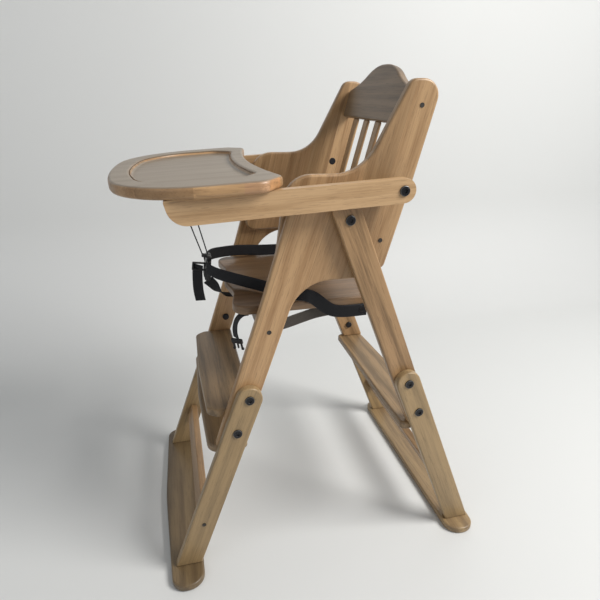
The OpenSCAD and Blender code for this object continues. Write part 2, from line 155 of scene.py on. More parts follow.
class Finish:
    """One material and the nodes that make it."""

    def __init__(self, name, **shader):
        self.material = bpy.data.materials.new(name)
        self.material.use_nodes = True
        self.tree = self.material.node_tree
        self.shader = self.tree.nodes["Principled BSDF"]
        for key, value in shader.items():
            self.shader.inputs[key.replace("_", " ").title().replace("Ior", "IOR")].default_value = value

    def _put(self, socket, value):
        if isinstance(value, Value):
            value = value.socket
        if isinstance(value, bpy.types.NodeSocket):
            self.tree.links.new(value, socket)
        elif hasattr(socket.default_value, "__len__") and len(socket.default_value) == 4 and len(value) == 3:
            socket.default_value = (*value, 1.0)
        else:
            socket.default_value = value

    def node(self, kind, settings, inputs, output=0):
        """Adds a node, sets it up, fills its sockets and returns one output socket."""
        made = self.tree.nodes.new(kind)
        for key, value in settings.items():
            setattr(made, key, value)
        for key, value in inputs.items():
            self._put(made.inputs[key], value)
        return made.outputs[output]

    def value(self, kind, settings, inputs, output=0):
        return Value(self, self.node(kind, settings, inputs, output))

    def position(self):
        return self.node("ShaderNodeTexCoord", {}, {}, "Object")

    def along(self, vector, direction):
        """How far a point lies along a direction."""
        return self.value("ShaderNodeVectorMath", {"operation": "DOT_PRODUCT"},
                          {0: vector, 1: tuple(direction)}, "Value")

    def vector(self, x, y, z):
        return self.node("ShaderNodeCombineXYZ", {}, {0: x, 1: y, 2: z})

    def noise(self, vector, scale, detail=3.0, rough=0.55, distortion=0.0):
        return self.value("ShaderNodeTexNoise", {}, {
            "Vector": vector, "Scale": scale, "Detail": detail, "Roughness": rough,
            "Distortion": distortion}, "Fac")

    def mix(self, factor, a, b, blend="MIX"):
        return self.node("ShaderNodeMix", {"data_type": "RGBA", "blend_type": blend},
                         {0: factor, 6: a, 7: b}, 2)

    def clamp(self, value):
        return self.value("ShaderNodeClamp", {}, {0: value})

    def colour(self, value):
        self._put(self.shader.inputs["Base Color"], value)

    def roughness(self, value):
        self._put(self.shader.inputs["Roughness"], value)

    def bump(self, height, distance, strength=0.5):
        self._put(self.shader.inputs["Normal"], self.node("ShaderNodeBump", {}, {
            "Strength": strength, "Distance": distance, "Height": height}))


def wood(name, light, dark, grain, face, strip=0.0, shift=0.0, contrast=0.5, top=None, blocks=(),
         rim_at=0.0):
    """Lacquered wood. grain is the direction of the fibres and face the board's normal;
    strip is the width of the glued strips across the grain, 0 for one plank. blocks are
    (y, colour) of jointed blocks that start at y, out beyond rim_at, and top is a colour
    painted on faces along face: the wood with a painted reflection of the sky on its lacquer."""
    if name in MADE:
        return MADE[name]
    f = Finish(name, roughness=0.42, coat_weight=0.18, coat_roughness=0.3)
    grain = Vector(grain).normalized()
    face = Vector(face).normalized()
    across = face.cross(grain)
    pos = f.position()
    u = f.along(pos, grain)
    v = f.along(pos, across) + shift
    w = f.along(pos, face)
    if strip > 0:
        cell = v / strip
        number = cell.floor()
        shade = f.value("ShaderNodeTexWhiteNoise", {"noise_dimensions": "1D"}, {"W": number + 3.7}, "Value")
        u = u + shade * 3.0
        seam = cell.fraction().distance_to(0.5) > 0.492
    long = f.vector(u * 1.6, v * 26.0, w * 26.0)
    wander = f.noise(f.vector(u * 1.1, v * 5.0, w * 5.0), 1.0, 2.0)
    rings = ((v * 210.0 + wander * 26.0 + w * 60.0).sine() * 0.5 + 0.5).power(1.6)
    streak = f.noise(long, 1.9, 5.0, 0.6, 0.25)
    fibre = f.noise(f.vector(u * 9.0, v * 330.0, w * 330.0), 1.0, 3.0)
    pores = f.noise(f.vector(u * 34.0, v * 760.0, w * 760.0), 1.0, 1.0) > 0.64
    flecks = f.noise(f.vector(u * 17.0, v * 240.0, w * 240.0), 1.0, 2.0) > 0.69
    mask = f.clamp((streak - 0.5) * 5.4 * contrast + rings * 0.8 * contrast + (fibre - 0.5) * 1.5 + 0.16)
    broad = f.noise(pos, 3.2, 2.0)
    between = light
    for start, block_colour in blocks:
        outer = f.along(pos, SIDE).distance_to(0.0) > rim_at
        between = f.mix((f.along(pos, (0.0, 1.0, 0.0)) > start) * outer, between, block_colour)
    colour = f.mix(mask, between, dark)
    pale = blocks[0][1] if blocks else light
    colour = f.mix(f.clamp((broad - 0.45) * 0.55), colour, scaled(pale, 0.72))
    if strip > 0:
        colour = f.mix(shade * 0.5, colour, scaled(dark, 0.74))
        warm = f.value("ShaderNodeTexWhiteNoise", {"noise_dimensions": "1D"}, {"W": number + 11.3}, "Value")
        colour = f.mix(warm * 0.14, colour, (pale[0], pale[1] * 0.72, pale[2] * 0.6))
        colour = f.mix(seam * 0.4, colour, scaled(dark, 0.5))
    colour = f.mix(pores * 0.3, colour, scaled(dark, 0.42))
    colour = f.mix(flecks * 0.34, colour, scaled(dark, 0.5))
    if top:
        # painted reflection: faces that look along face take the top colour, the wood with the sky's sheen on
        # the lacquer painted in
        normal = f.node("ShaderNodeTexCoord", {}, {}, "Normal")
        painted_reflection_share = f.clamp((f.along(normal, face) - 0.62) * 5.0)
        colour = f.mix(painted_reflection_share, colour, f.mix(mask * 0.45, top, scaled(top, 0.7)))
    f.colour(colour)
    f.roughness((streak - 0.5) * 0.25 + 0.42)
    f.bump(fibre * 0.6 + streak * 0.4 - pores * 0.25, 0.00035, 0.35)
    MADE[name] = f.material
    return f.material


def webbing(name, colour):
    """Woven strap: cross ribs with a fine twill, from the strap's own length and width."""
    if name in MADE:
        return MADE[name]
    f = Finish(name, roughness=0.78, sheen_weight=0.04)
    lay = f.node("ShaderNodeUVMap", {"uv_map": "lay"}, {})
    u = f.along(lay, (1.0, 0.0, 0.0))
    v = f.along(lay, (0.0, 1.0, 0.0))
    ribs = (u * (2 * math.pi / RIB_PITCH)).sine() * 0.5 + 0.5
    twill = (v * 2600.0 + u * 1500.0).sine() * 0.5 + 0.5
    fuzz = f.noise(f.position(), 900.0, 2.0)
    height = ribs * 0.6 + twill * 0.4
    edge = f.clamp((v.distance_to(0.0) - 0.0098) * 900.0)
    weave = f.clamp(height * 0.7 + (fuzz - 0.5) * 0.5)
    woven = f.mix(weave, scaled(colour, 0.45), scaled(colour, 1.9))
    f.colour(f.mix(edge * 0.45, woven, scaled(colour, 2.6)))
    f.roughness(0.86 - height * 0.18)
    f.bump(height + fuzz * 0.3, 0.0004, 0.8)
    MADE[name] = f.material
    return f.material


def moulded(name, colour, rough=0.45, metallic=0.0, grain=1400.0, depth=0.00012):
    """Plain moulded plastic or coated metal with a fine surface grain and light wear."""
    if name in MADE:
        return MADE[name]
    f = Finish(name, roughness=rough, metallic=metallic)
    pos = f.position()
    fine = f.noise(pos, grain, 2.0)
    broad = f.noise(pos, 60.0, 3.0)
    f.colour(f.mix(f.clamp((broad - 0.4) * 0.8), colour, tuple(min(1.0, c * 1.5 + 0.01) for c in colour)))
    f.roughness((broad - 0.5) * 0.3 + rough)
    f.bump(fine, depth, 0.4)
    MADE[name] = f.material
    return f.material


def brushed(name, colour):
    """Brushed or plated steel."""
    if name in MADE:
        return MADE[name]
    f = Finish(name, metallic=1.0, roughness=0.35)
    pos = f.position()
    lines = f.noise(f.vector(f.along(pos, (1, 0, 0)) * 40.0, f.along(pos, (0, 1, 0)) * 900.0,
                             f.along(pos, (0, 0, 1)) * 900.0), 1.0, 2.0)
    f.colour(f.mix(lines, scaled(colour, 0.8), colour))
    f.roughness(lines * 0.2 + 0.28)
    f.bump(lines, 0.00006, 0.5)
    MADE[name] = f.material
    return f.material


# ---------------------------------------------------------------- mesh tools

def finish_piece(name, bm, material, node, smooth=True, weighted=False):
    """Turns a bmesh into a piece that rides on its node's body and stands for the node."""
    mesh = bpy.data.meshes.new(name)
    bmesh.ops.recalc_face_normals(bm, faces=bm.faces)
    for face in bm.faces:
        face.smooth = smooth
    bm.to_mesh(mesh)
    bm.free()
    piece = bpy.data.objects.new(name, mesh)
    bpy.context.scene.collection.objects.link(piece)
    mesh.materials.append(material)
    if weighted:
        mod = piece.modifiers.new("even shading", "WEIGHTED_NORMAL")
        mod.weight = 90
        mod.keep_sharp = True
    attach(piece, BODY_OF[node])
    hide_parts(node)
    return piece


def edge_loops(edges):
    """Groups edges that touch each other."""
    left = set(edges)
    groups = []
    while left:
        stack = [left.pop()]
        group = list(stack)
        while stack:
            for vert in stack.pop().verts:
                for other in vert.link_edges:
                    if other in left:
                        left.remove(other)
                        stack.append(other)
                        group.append(other)
        groups.append(group)
    return groups


def rounded_board(node, radius, material, steps=4, hole_size=0.032, clamp=True):
    """A board with its edges rounded over, in the outline that the frame gives it."""
    bm = bmesh.new()
    bm.from_mesh(frame["nodes"][node].data)
    bmesh.ops.remove_doubles(bm, verts=bm.verts, dist=1e-5)
    bmesh.ops.dissolve_limit(bm, angle_limit=math.radians(0.6), verts=bm.verts, edges=bm.edges)
    sharp = [e for e in bm.edges if len(e.link_faces) == 2 and e.calc_face_angle(0) > math.radians(28)]
    chosen = []
    for group in edge_loops(sharp):
        points = [v.co for e in group for v in e.verts]
        span = max((max(p[i] for p in points) - min(p[i] for p in points)) for i in range(3))
        if span > hole_size:
            chosen += group
    bmesh.ops.bevel(bm, geom=chosen, offset=radius, offset_type="OFFSET", segments=steps,
                    profile=0.5, affect="EDGES", clamp_overlap=clamp)
    bmesh.ops.remove_doubles(bm, verts=bm.verts, dist=2e-6)
    return finish_piece(node + "_finished", bm, material, node, weighted=True)


def circle_radius(shape, radius, angle):
    """Radius of a round or six-sided ring at an angle."""
    if shape == "round":
        return radius
    return radius / math.cos((angle + math.pi / 6) % (math.pi / 3) - math.pi / 6)


def turned(bm, centre, toward, rings, sides=36):
    """Adds a solid of rings across X at centre. Each ring is (distance along, radius, shape)."""
    loops = []
    for along, radius, shape in rings:
        loop = []
        for k in range(sides):
            a = 2 * math.pi * k / sides
            r = circle_radius(shape, radius, a)
            loop.append(bm.verts.new((centre.x + toward * along, centre.y + r * math.cos(a),
                                      centre.z + r * math.sin(a))))
        loops.append(loop)
    for first, second in zip(loops, loops[1:]):
        for k in range(sides):
            bm.faces.new((first[k], first[(k + 1) % sides], second[(k + 1) % sides], second[k]))
    bm.faces.new(loops[0][::-1])
    bm.faces.new(loops[-1])


def bevelled_box(bm, centre, size, turn, radius):
    """Adds a box with rounded edges, turned by a rotation matrix about its centre."""
    half = Vector(size) / 2
    part = bmesh.new()
    bmesh.ops.create_cube(part, size=1.0)
    for vert in part.verts:
        vert.co = Vector((vert.co.x * size[0], vert.co.y * size[1], vert.co.z * size[2]))
    radius = min(radius, min(half) * 0.9)
    bmesh.ops.bevel(part, geom=part.edges[:], offset=radius, offset_type="OFFSET", segments=3,
                    profile=0.5, affect="EDGES", clamp_overlap=True)
    copied = {}
    for vert in part.verts:
        copied[vert] = bm.verts.new(centre + turn @ vert.co)
    for face in part.faces:
        bm.faces.new([copied[v] for v in face.verts])
    part.free()


def curve_through(points, steps):
    """Evenly many points on a smooth curve through the given ones."""
    out = []
    last = len(points) - 1
    for i in range(last):
        a, b, c, d = (points[max(i - 1, 0)], points[i], points[i + 1], points[min(i + 2, last)])
        for k in range(steps):
            t = k / steps
            out.append(0.5 * (2 * b + (c - a) * t + (2 * a - 5 * b + 4 * c - d) * t * t
                              + (3 * b - a - 3 * c + d) * t ** 3))
    out.append(points[last].copy())
    return out


def strap(name, node, rows, width, material, steps=14):
    """Flat webbing with rolled selvedges, swept through rows of point and side direction."""
    centre = curve_through([Vector(r[:3]) for r in rows], steps)
    sides = curve_through([Vector(r[3:]) for r in rows], steps)
    section = []
    count = 12
    for k in range(count + 1):
        t = -1 + 2 * k / count
        rolled = 0.10 if k in (1, count - 1) else 0.0
        thinned = 0.55 if k in (0, count) else 0.0
        section.append((t, 1.0 + rolled - thinned))
    bm = bmesh.new()
    lay = bm.loops.layers.uv.new("lay")
    rings = []
    length = 0.0
    for i, point in enumerate(centre):
        if i:
            length += (point - centre[i - 1]).length
        tangent = (centre[min(i + 1, len(centre) - 1)] - centre[max(i - 1, 0)]).normalized()
        side = (sides[i] - sides[i].dot(tangent) * tangent).normalized()
        up = tangent.cross(side)
        ring = []
        for t, fat in section:
            ring.append((point + side * t * width / 2 + up * fat * WEB_THICK / 2, length, t * width / 2))
        for t, fat in reversed(section):
            ring.append((point + side * t * width / 2 - up * fat * WEB_THICK / 2, length, t * width / 2))
        rings.append([(bm.verts.new(p), a, b) for p, a, b in ring])
    n = len(rings[0])
    for first, second in zip(rings, rings[1:]):
        for k in range(n):
            corners = (first[k], first[(k + 1) % n], second[(k + 1) % n], second[k])
            face = bm.faces.new([c[0] for c in corners])
            for loop, c in zip(face.loops, corners):
                loop[lay].uv = (c[1], c[2])
    for ring, order in ((rings[0], -1), (rings[-1], 1)):
        face = bm.faces.new([c[0] for c in ring][::order])
        for loop, c in zip(face.loops, ring[::order]):
            loop[lay].uv = (c[1], c[2])
    return finish_piece(name, bm, material, node)


def mm(rows):
    """Rows measured in millimetres from the chair's own zero, in metres in the frame."""
    return [(r[0] / 1000, r[1] / 1000 + Y0, r[2] / 1000, *r[3:]) for r in rows]


# ---------------------------------------------------------------- settings

def tint(name, text, default):
    return FloatVectorProperty(name=name, description=text, default=default, size=3,
                               min=0.0, max=1.0, subtype="COLOR")


class HighChairWood(bpy.types.PropertyGroup):
    light: tint("Light wood", "Colour between the grain lines of the panels and arms", (0.48, 0.307, 0.154))
    grain: tint("Grain", "Colour of the grain lines of the panels and arms", (0.27, 0.155, 0.066))
    leg: tint("Leg wood", "Colour between the grain lines of the rear upper legs", (0.38, 0.228, 0.108))
    foot: tint("Lower leg wood", "Colour between the grain lines of the lower legs", (0.37, 0.25, 0.122))
    step: tint("Step wood", "Colour of the step boards and the foot boards", (0.31, 0.20, 0.098))
    seat: tint("Seat wood", "Colour of the seat board", (0.285, 0.175, 0.09))
    # the tray colour goes on the tray's top face only: its wood with a painted reflection of the sky on the
    # lacquer
    tray: tint("Tray wood", "Colour of the tray board", (0.245, 0.19, 0.135))
    head: tint("Headrest wood", "Colour of the headrest board", (0.225, 0.147, 0.082))
    rounding: FloatProperty(name="Edge rounding", description="Radius of the rounded board edges",
                            default=0.0042, min=0.001, max=0.007, unit="LENGTH")


class HighChairTrim(bpy.types.PropertyGroup):
    bolt: tint("Bolts", "Colour of the bolt heads", (0.012, 0.012, 0.014))
    strap: tint("Webbing", "Colour of the harness webbing", (0.0045, 0.005, 0.0075))
    stay: tint("Stay straps", "Colour of the two straps under the seat", (0.075, 0.064, 0.054))
    plastic: tint("Buckle", "Colour of the buckle and clip", (0.010, 0.010, 0.011))
    web_width: FloatProperty(name="Webbing width", description="Width of the harness webbing",
                             default=0.025, min=0.015, max=0.03, unit="LENGTH")
    cord: FloatProperty(name="Cord diameter", description="Diameter of the tray cords",
                        default=0.0026, min=0.001, max=0.005, unit="LENGTH")


class HighChairStage(bpy.types.PropertyGroup):
    floor: tint("Floor", "Colour of the floor and backdrop", (0.68, 0.685, 0.675))
    lens: FloatProperty(name="Lens", description="Focal length of the camera", default=30.68,
                        min=15.0, max=120.0, unit="CAMERA")


def wood_set(context):
    return context.scene.high_chair_wood


def trim_set(context):
    return context.scene.high_chair_trim


UP_BACK = (0.0, 0.255, 0.967)
UP_FRONT = (0.0, 0.318, 0.948)
UP_FRONT_LOW = (0.0, 0.349, 0.937)
UP_REAR = (0.0, -0.363, 0.932)
UP_REAR_LOW = (0.0, -0.371, 0.929)
ACROSS = (1.0, 0.0, 0.0)
SIDE = (1.0, 0.0, 0.0)
FLAT = (0.0, 0.0, 1.0)
BACK_FACE = (0, -0.967, 0.255)
FRONT_TO_BACK = (0, 1, 0)
ALONG_ARM = (0, 0.9988, 0.0488)


# ---------------------------------------------------------------- operators

class CHAIR_OT_side_panels(bpy.types.Operator):
    """Side panels of glued strips that carry the back and the arm curve"""
    bl_idname = "chair.side_panels"
    bl_label = "Side panels"

    def execute(self, context):
        s = wood_set(context)
        for node in ("side_panel_left", "side_panel_right"):
            made = wood("glued panel wood", tuple(s.light), tuple(s.grain), UP_BACK, SIDE, strip=0.046,
                        shift=0.011, contrast=0.6)
            rounded_board(node, s.rounding, made)
        return {"FINISHED"}


class CHAIR_OT_front_panels(bpy.types.Operator):
    """Front panels: leg and arch in one glued board"""
    bl_idname = "chair.front_panels"
    bl_label = "Front panels"

    def execute(self, context):
        s = wood_set(context)
        for node in ("front_panel_left", "front_panel_right"):
            made = wood("front panel wood", scaled(s.light, 1.04), scaled(s.grain, 1.08), UP_FRONT, SIDE,
                        strip=0.06, shift=0.02, contrast=0.5)
            rounded_board(node, s.rounding, made)
        return {"FINISHED"}


class CHAIR_OT_legs(bpy.types.Operator):
    """Rear upper legs and the four lower legs"""
    bl_idname = "chair.legs"
    bl_label = "Legs"

    def execute(self, context):
        s = wood_set(context)
        for hand in ("left", "right"):
            rounded_board("rear_upper_leg_" + hand, s.rounding,
                          wood("rear leg wood", tuple(s.leg), scaled(s.grain, 0.72), UP_REAR, SIDE,
                               contrast=0.8))
            rounded_board("rear_lower_leg_" + hand, s.rounding,
                          wood("rear lower leg wood", tuple(s.foot), scaled(s.foot, 0.6), UP_REAR_LOW, SIDE,
                               contrast=0.5))
            rounded_board("front_lower_leg_" + hand, s.rounding,
                          wood("front lower leg wood", scaled(s.foot, 0.94), scaled(s.foot, 0.58),
                               UP_FRONT_LOW, SIDE, contrast=0.5))
        return {"FINISHED"}


class CHAIR_OT_steps(bpy.types.Operator):
    """Footrest, low step boards and foot boards"""
    bl_idname = "chair.steps"
    bl_label = "Step and foot boards"

    def execute(self, context):
        s = wood_set(context)
        for node in ("footrest_board", "front_low_board", "rear_low_board"):
            rounded_board(node, s.rounding, wood("step wood", tuple(s.step), scaled(s.step, 0.5), ACROSS, FLAT,
                                                 contrast=0.7))
        # the front foot board's share of 0.46 is painted shade: it is the same wood as the rear one, darkened
        # for the deep shade it lies in
        for node, share in (("front_foot_board", 0.46), ("rear_foot_board", 0.92)):
            rounded_board(node, s.rounding, wood(node.replace("_", " ") + " wood", scaled(s.foot, share),
                                                 scaled(s.step, share * 0.7), ACROSS, FLAT, contrast=0.7,
                                                 shift=0.03))
        return {"FINISHED"}


class CHAIR_OT_rails(bpy.types.Operator):
    """Stretchers, front seat rail and the lower rail of the back"""
    bl_idname = "chair.rails"
    bl_label = "Rails"

    def execute(self, context):
        s = wood_set(context)
        for node in ("front_stretcher", "rear_stretcher", "seat_front_rail", "back_lower_rail"):
            rounded_board(node, 0.003, wood("rail wood", tuple(s.leg), scaled(s.grain, 0.7), ACROSS, FLAT,
                                            contrast=0.6, shift=0.05))
        return {"FINISHED"}


class CHAIR_OT_back(bpy.types.Operator):
    """Headrest board and the four slats under it"""
    bl_idname = "chair.back"
    bl_label = "Back"

    def execute(self, context):
        s = wood_set(context)
        rounded_board("headrest_board", s.rounding,
                      wood("headrest wood", tuple(s.head), scaled(s.head, 0.55), ACROSS, BACK_FACE,
                           contrast=0.5))
        rounded_board("back_slats", 0.0028,
                      wood("slat wood", tuple(s.light), tuple(s.grain), UP_BACK, BACK_FACE,
                           strip=0.062, shift=0.0, contrast=0.5))
        return {"FINISHED"}


class CHAIR_OT_seat(bpy.types.Operator):
    """Seat board and the two blocks under it that turn on the rod"""
    bl_idname = "chair.seat"
    bl_label = "Seat"

    def execute(self, context):
        s = wood_set(context)
        rounded_board("seat_board", 0.0036, wood("seat wood", tuple(s.seat), scaled(s.seat, 0.55),
                                                 FRONT_TO_BACK, FLAT, strip=0.07, contrast=0.6))
        rounded_board("seat_pivot_blocks", 0.002, wood("block wood", scaled(s.leg, 0.9), scaled(s.grain, 0.6),
                                                       ACROSS, FLAT, contrast=0.5, shift=0.01), hole_size=0.02)
        return {"FINISHED"}


class CHAIR_OT_tray(bpy.types.Operator):
    """Tray board, its two arms and the blocks that it rests on"""
    bl_idname = "chair.tray"
    bl_label = "Tray"

    def execute(self, context):
        s = wood_set(context)
        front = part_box("tray_board")[0][1]
        blocks = ((front + 0.1405, (0.72, 0.46, 0.225)), (front + 0.2165, (0.70, 0.41, 0.235)),
                  (front + 0.2565, (0.66, 0.33, 0.14)))
        # top=s.tray paints the sky's reflection onto the tray's top face; the edges keep the wood and block
        # colours
        rounded_board("tray_board", 0.0065, wood("tray wood with painted top sheen", (0.42, 0.265, 0.13), scaled(s.grain, 0.8),
                                                 FRONT_TO_BACK, FLAT, strip=0.05, shift=0.008, contrast=0.4,
                                                 top=tuple(s.tray), blocks=blocks,
                                                 rim_at=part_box("tray_board")[1][0] - 0.03),
                      steps=6, clamp=False)
        for hand in ("left", "right"):
            rounded_board("tray_arm_" + hand, s.rounding,
                          wood("arm wood", (s.light[0] * 1.14, s.light[1] * 1.15, s.light[2] * 1.2),
                               scaled(s.grain, 1.25), ALONG_ARM, SIDE, contrast=0.3, shift=0.07))
        rounded_board("tray_rest_blocks", 0.002, wood("rest block wood", scaled(s.leg, 0.8),
                                                      scaled(s.grain, 0.6), FRONT_TO_BACK, SIDE, contrast=0.5))
        return {"FINISHED"}


def bolt_row(node, holders, material, rim, nut_len=0.005):
    """Bolts on both sides of the chair: holders are (y, z, inner end) of their axes."""
    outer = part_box(node)[1][0]
    bm = bmesh.new()
    for y, z, inner in holders:
        for toward in (-1, 1):
            centre = Vector((toward * inner, y, z))
            span = outer - inner
            turned(bm, centre, toward, [
                (0.0, BOLT_NUT * 0.55, "round"), (0.0, BOLT_NUT * 0.86, "round"),
                (0.0006, BOLT_NUT * 0.97, "round"), (0.0016, BOLT_NUT, "round"),
                (nut_len, BOLT_NUT, "round"), (nut_len, BOLT_SHANK, "round"),
                (span - 0.003, BOLT_SHANK, "round"), (span - 0.003, BOLT_HEAD, "round"),
                (span - 0.0012, BOLT_HEAD, "round"), (span - 0.0004, BOLT_HEAD * 0.965, "round"),
                (span, BOLT_HEAD * 0.88, "round"), (span, BOLT_HEAD * 0.42, "six"),
                (span - 0.0002, BOLT_HEAD * 0.40, "six"), (span - 0.0019, BOLT_HEAD * 0.39, "six")])
    # the faces of the head's outer chamfer get the second material, a lighter grey metal that paints in the
    # highlight ring on each head's rim
    for face in bm.faces:
        spot = face.calc_center_median()
        depth = outer - abs(spot.x)
        axis = min(holders, key=lambda h: (spot.y - h[0]) ** 2 + (spot.z - h[1]) ** 2)
        out = math.hypot(spot.y - axis[0], spot.z - axis[1])
        if 0.0001 < depth < 0.0013 and out > BOLT_HEAD * 0.9:
            face.material_index = 1
    piece = finish_piece(node + "_finished", bm, material, node, smooth=False)
    piece.data.materials.append(rim)
    return piece


class CHAIR_OT_bolts(bpy.types.Operator):
    """Flat black bolts at the pivots and at the leg joints, with round nuts inside"""
    bl_idname = "chair.bolts"
    bl_label = "Bolts"

    def execute(self, context):
        black = moulded("black bolt", tuple(trim_set(context).bolt), rough=0.33, metallic=0.4, grain=2500.0)
        # the rim material is a painted highlight: lighter metal on the heads' chamfers for the light ring
        # round each black head
        rim = moulded("bolt rim painted highlight", (0.13, 0.13, 0.13), rough=0.42, metallic=0.9)
        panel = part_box("side_panel_left")[0][0]
        for node in ("leg_pivot_bolts", "tray_pivot_bolts"):
            c = middle(node)
            bolt_row(node, [(c.y, c.z, panel)], black, rim, nut_len=0.003)
        for node, slope, inner in (("front_leg_bolts", -1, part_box("front_panel_left")[0][0] - 0.005),
                                   ("rear_leg_bolts", 1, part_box("rear_upper_leg_left")[0][0] - 0.005)):
            low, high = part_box(node)
            top_z = high[2] - BOLT_HEAD
            near_y = low[1] + BOLT_HEAD
            if slope < 0:
                ends = ((high[1] - BOLT_HEAD, top_z, inner), (near_y, low[2] + BOLT_HEAD, inner))
            else:
                ends = ((near_y, top_z, inner), (near_y + JOINT_RUN, top_z - JOINT_DROP, inner))
            bolt_row(node, ends, black, rim)
        return {"FINISHED"}


class CHAIR_OT_fittings(bpy.types.Operator):
    """Screw heads, washers, spacers and the seat rod"""
    bl_idname = "chair.fittings"
    bl_label = "Small fittings"

    def execute(self, context):
        t = trim_set(context)
        dark = moulded("screw recess", (0.05, 0.045, 0.04), rough=0.5, metallic=0.5)
        steel = brushed("plated steel", (0.6, 0.6, 0.61))
        grey = moulded("nylon washer", (0.55, 0.55, 0.53), rough=0.5)
        black = moulded("spacer plastic", tuple(t.plastic), rough=0.4)
        for node, made in (("frame_screws", dark), ("seat_rod", steel), ("pivot_washers", grey),
                           ("tray_spacers", black), ("strap_anchors", black)):
            for slot in frame["nodes"][node].material_slots:
                slot.material = made
        return {"FINISHED"}


class CHAIR_OT_webbing(bpy.types.Operator):
    """Harness and stay straps"""
    bl_idname = "chair.webbing"
    bl_label = "Webbing"

    def execute(self, context):
        t = trim_set(context)
        black = webbing("harness webbing", tuple(t.strap))
        grey = webbing("stay webbing", tuple(t.stay))
        top = SEAT_TOP * 1000
        base = SEAT_Z * 1000
        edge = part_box("seat_board")[1][0] * 1000 + 1.0
        on_seat = top + 12.8
        w = t.web_width
        strap("waist_strap_left_web", "waist_strap_left", mm([
            (-1.6, -258, base + 44, 0, 0, 1), (24, -238, on_seat + 9, 0, 0, 1),
            (56, -200, on_seat + 4, 0, 0, 1), (92, -162, on_seat + 1.6, 0, 0, 1),
            (126, -132, on_seat + 1, 0, 0, 1), (150, -110, on_seat + 0.8, 0, 0, 1),
            (edge, -88, on_seat + 0.8, 0, 0, 1), (edge, -70, on_seat - 8, 0, 0, 1),
            (edge, -52, base + 6, 0, 0, 1), (edge, -34, base - 6, 0, 0, 1),
            (edge, -8, base - 11, 0, 0, 1), (edge, 36, base - 11, 0, 0, 1)]), w, black)
        strap("waist_strap_right_web", "waist_strap_right", mm([
            (-60.5, -258.5, base + 42, 0, 0, 1), (-84, -243, base + 48, 0, 0, 1),
            (-116, -214, on_seat + 13, 0, 0, 1), (-138, -174, on_seat + 8, -0.1, 0, 1),
            (-147, -120, on_seat + 2, -0.25, 0, 0.97), (-149, -60, on_seat - 0.3, -0.4, 0, 0.92),
            (-150, -10, on_seat - 0.8, -0.5, 0, 0.86), (-151, 36, on_seat - 0.8, -0.5, 0, 0.86)]), w, black)
        strap("crotch_strap_web", "crotch_strap", mm([
            (-30, -181, base - 26, 1, 0, 0), (-30, -200, base - 31, 1, 0, 0),
            (-31, -222, base - 28, 1, 0.1, 0), (-32, -237, base - 17, 0.75, 0.6, 0.3),
            (-31, -246, base - 3, 0.4, 0.8, 0.45), (-30, -256, base + 8.5, 0.3, 0.85, 0.45)]), w, black)
        strap("strap_tail_web", "strap_tail", mm([
            (-34, -274, base + 43, 0.45, 0.89, 0), (-36, -276.5, base + 26, 0.45, 0.89, 0),
            (-38, -277.5, base + 2, 0.4, 0.91, 0), (-39, -277, base - 20, 0.35, 0.93, 0),
            (-40, -274, base - 42, 0.35, 0.93, 0)]), w - 0.002, black)
        strap("clip_strap_web", "clip_strap", mm([
            (128, -193, base - 10, 1, 0, 0), (127, -205, base - 12, 1, 0.05, 0),
            (126, -216, base - 24, 0.98, 0.15, 0), (125, -220, base - 44, 0.95, 0.3, 0),
            (124, -218, base - 62, 0.9, 0.4, 0)]), w - 0.003, black)
        stay = 130.8
        low = base - 12.8
        rows = [(158, -148, base - 29, 0, 0, 1), (156, -122, base - 25, 0, 0, 1),
                (153, -92, base - 18.5, 0, 0, 1), (148, -62, base - 14, 0, 0, 1), (141, -20, low, 0, 0, 1),
                (stay + 1.4, 18, low, 0, 0, 1), (stay, 34, low, 0, 0, 1), (stay, 43, low, 0, 0, 1)]
        left = strap("stay_strap_left", "stay_straps", mm(rows), w - 0.002, grey)
        mirrored = [(-r[0], r[1], r[2], -r[3], r[4], r[5]) for r in rows]
        right = strap("stay_strap_right", "stay_straps", mm(mirrored), w - 0.002, grey)
        return {"FINISHED"}


